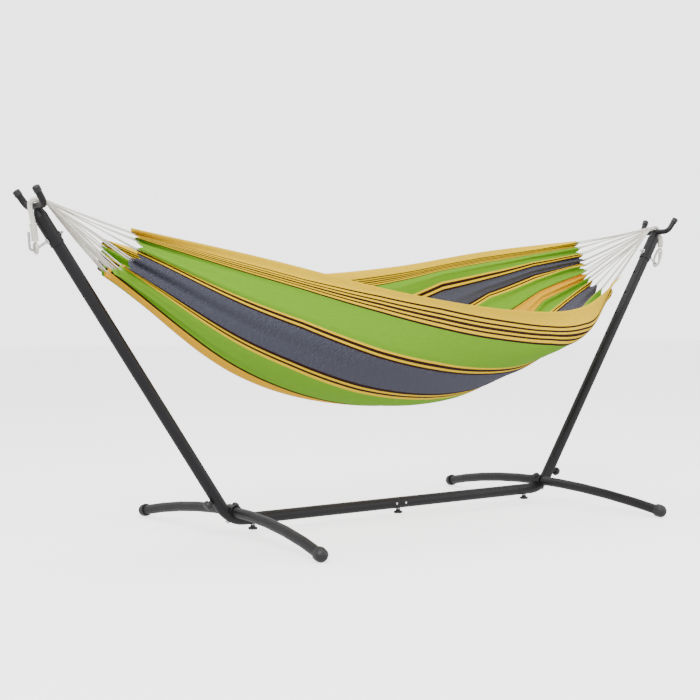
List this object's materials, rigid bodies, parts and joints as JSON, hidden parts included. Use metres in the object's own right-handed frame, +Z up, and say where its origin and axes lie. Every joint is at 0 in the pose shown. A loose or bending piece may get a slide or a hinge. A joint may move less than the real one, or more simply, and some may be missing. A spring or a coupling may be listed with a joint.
{
  "type": "hammock on stand",
  "caption": "Striped cotton hammock hung by a gathered cord harness between the two raised ends of a steel stand with bowed feet.",
  "frame": {"origin": "on the floor, under the middle of the base tube", "axes": "+X along the stand, +Z up, -Y towards the front side"},
  "size_m": [2.7372, 1.2106, 1.1063],
  "materials": {
    "charcoal_steel": "satin charcoal powder coat",
    "black_plastic": "moulded, matte",
    "bright_zinc": "bright zinc plate",
    "striped_cotton": "woven cotton, lengthwise stripes",
    "cream_cord": "natural twisted cotton cord"
  },
  "bodies": {
    "stand": {"base_joint_screw_left": "bright_zinc", "base_joint_screw_right": "bright_zinc", "base_joint_sleeve": "charcoal_steel", "base_tube_left": "charcoal_steel", "base_tube_right": "charcoal_steel", "dome_nut_left": "black_plastic", "dome_nut_right": "black_plastic", "elbow_left": "charcoal_steel", "elbow_right": "charcoal_steel", "foot_bolt_left": "bright_zinc", "foot_bolt_right": "bright_zinc", "foot_cap_left_front": "black_plastic", "foot_cap_left_rear": "black_plastic", "foot_cap_right_front": "black_plastic", "foot_cap_right_rear": "black_plastic", "foot_collar_left": "charcoal_steel", "foot_collar_right": "charcoal_steel", "foot_left": "charcoal_steel", "foot_right": "charcoal_steel", "fork_cap_left_front": "black_plastic", "fork_cap_left_rear": "black_plastic", "fork_cap_right_front": "black_plastic", "fork_cap_right_rear": "black_plastic", "harness_eye_left": "cream_cord", "harness_eye_right": "cream_cord", "harness_neck_left": "cream_cord", "harness_neck_right": "cream_cord", "hook_bolt_left": "bright_zinc", "hook_bolt_right": "bright_zinc", "hook_bracket_left": "charcoal_steel", "hook_bracket_right": "charcoal_steel", "hook_washer_left_inner": "bright_zinc", "hook_washer_left_outer": "bright_zinc", "hook_washer_right_inner": "bright_zinc", "hook_washer_right_outer": "bright_zinc", "levelling_insert_centre": "bright_zinc", "levelling_insert_left": "bright_zinc", "levelling_insert_right": "bright_zinc", "upright_cap_left": "black_plastic", "upright_cap_right": "black_plastic", "upright_left": "charcoal_steel", "upright_right": "charcoal_steel"},
    "hammock": {"hammock_bed": "striped_cotton", "harness_cords_left": "cream_cord", "harness_cords_right": "cream_cord", "harness_throat_left": "cream_cord", "harness_throat_right": "cream_cord"},
    "levelling_foot_centre": {"levelling_pad_centre": "black_plastic", "levelling_stud_centre": "bright_zinc"},
    "levelling_foot_left": {"levelling_pad_left": "black_plastic", "levelling_stud_left": "bright_zinc"},
    "levelling_foot_right": {"levelling_pad_right": "black_plastic", "levelling_stud_right": "bright_zinc"},
    "lock_knob_left": {"lock_knob_left": "black_plastic", "lock_knob_stud_left": "bright_zinc"},
    "lock_knob_right": {"lock_knob_right": "black_plastic", "lock_knob_stud_right": "bright_zinc"},
    "wing_nut_left": {"wing_nut_left": "bright_zinc"},
    "wing_nut_right": {"wing_nut_right": "bright_zinc"}
  },
  "joints": [
    {"name": "hammock_swing", "type": "hinge", "parent": "stand", "child": "hammock", "pos_m": [0, 0, 1.062], "axis": [1, 0, 0], "range_deg": [-25, 25]},
    {"name": "wing_nut_turn_left", "type": "hinge", "parent": "stand", "child": "wing_nut_left", "pos_m": [-1.27409, 0, 0.95793], "axis": [-0.8382, 0, -0.5454], "continuous": true},
    {"name": "lock_knob_turn_left", "type": "hinge", "parent": "stand", "child": "lock_knob_left", "pos_m": [-0.73308, 0, 0.12644], "axis": [-0.8382, 0, -0.5454], "continuous": true},
    {"name": "wing_nut_turn_right", "type": "hinge", "parent": "stand", "child": "wing_nut_right", "pos_m": [1.27409, 0, 0.95793], "axis": [0.8382, 0, -0.5454], "continuous": true},
    {"name": "lock_knob_turn_right", "type": "hinge", "parent": "stand", "child": "lock_knob_right", "pos_m": [0.73308, 0, 0.12644], "axis": [0.8382, 0, -0.5454], "continuous": true},
    {"name": "levelling_foot_left_height", "type": "slide", "parent": "stand", "child": "levelling_foot_left", "axis": [0, 0, -1], "range_m": [-0.0012, 0.013]},
    {"name": "levelling_foot_centre_height", "type": "slide", "parent": "stand", "child": "levelling_foot_centre", "axis": [0, 0, -1], "range_m": [-0.0012, 0.013]},
    {"name": "levelling_foot_right_height", "type": "slide", "parent": "stand", "child": "levelling_foot_right", "axis": [0, 0, -1], "range_m": [-0.0012, 0.013]}
  ]
}
